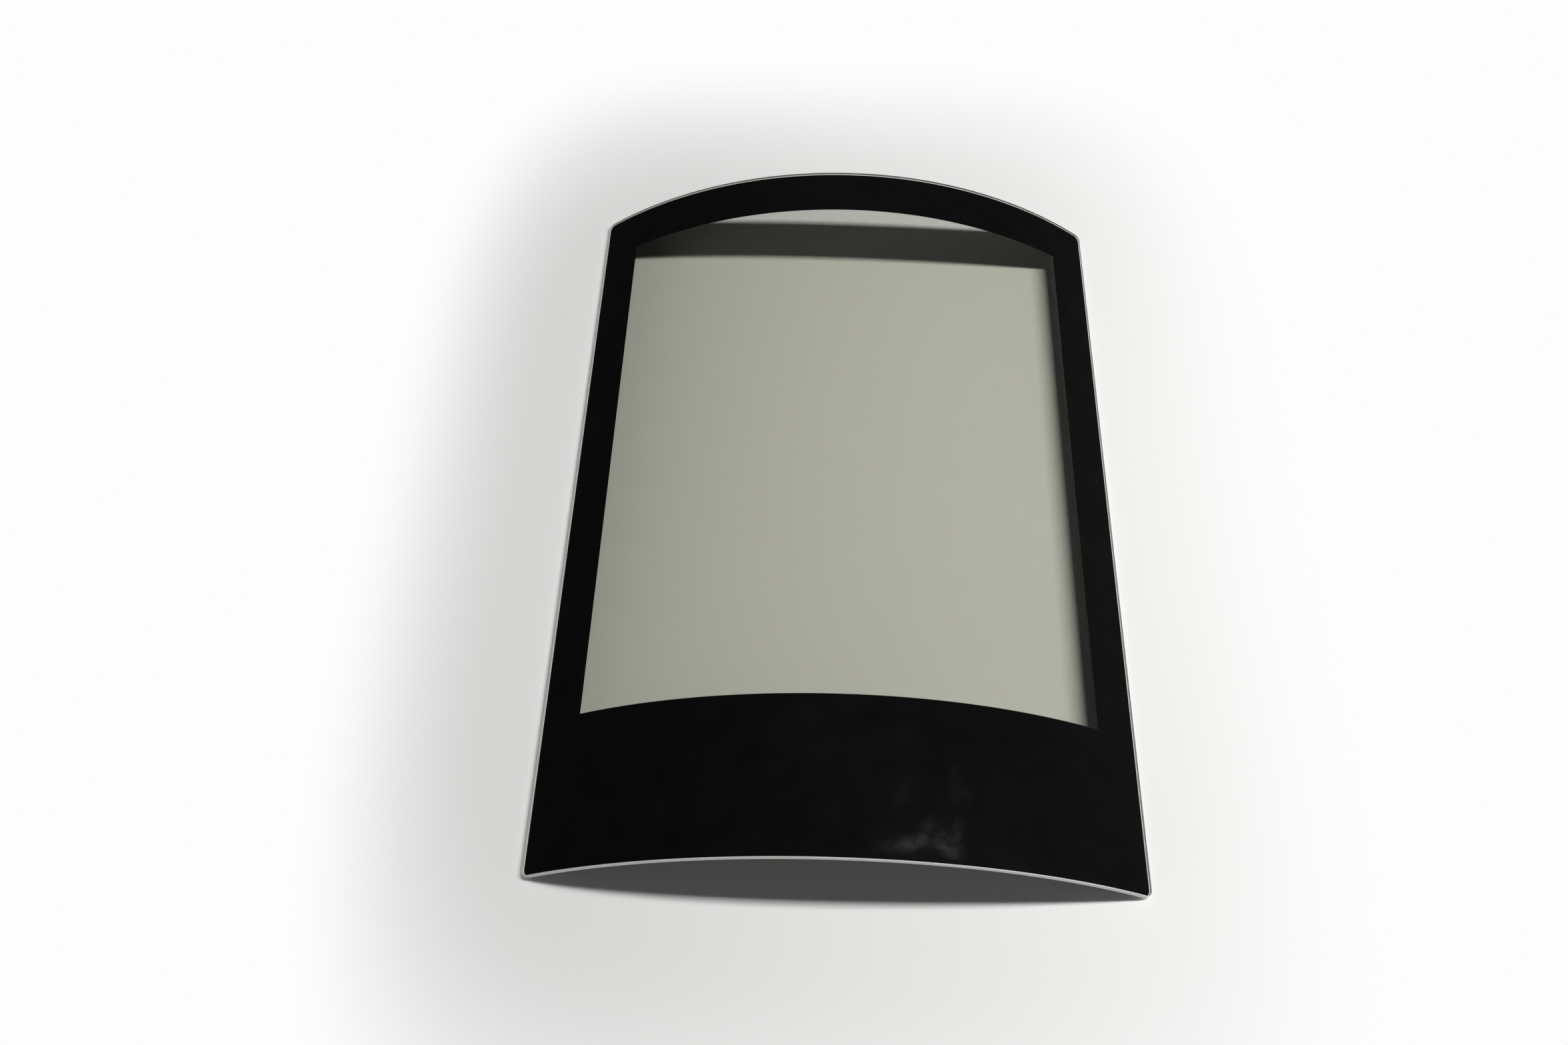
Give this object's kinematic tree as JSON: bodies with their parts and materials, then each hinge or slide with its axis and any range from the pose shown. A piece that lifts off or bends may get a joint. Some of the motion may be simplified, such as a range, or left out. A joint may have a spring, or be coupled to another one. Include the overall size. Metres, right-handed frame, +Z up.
{
  "type": "curved stove door glass",
  "caption": "Cylindrically bent pane of clear heat-resistant glass with a fired black border round its window, the viewing glass of a stove or fireplace door.",
  "frame": {"origin": "centre of the bounding box's bottom face: the pane lies convex side up on its two straight side edges", "axes": "+X across the bend, +Y along the straight edges towards the end with the narrow border, +Z up to the crown"},
  "size_m": [0.3644, 0.506, 0.0648],
  "materials": {
    "clear_glass": "clear glass-ceramic with a faint warm tint, fire-polished faces and seamed edges",
    "black_enamel": "fired black screen print, glossy through the glass and satin on its own face"
  },
  "bodies": {
    "root": {"glass_pane": "clear_glass", "enamel_border": "black_enamel"}
  },
  "joints": []
}
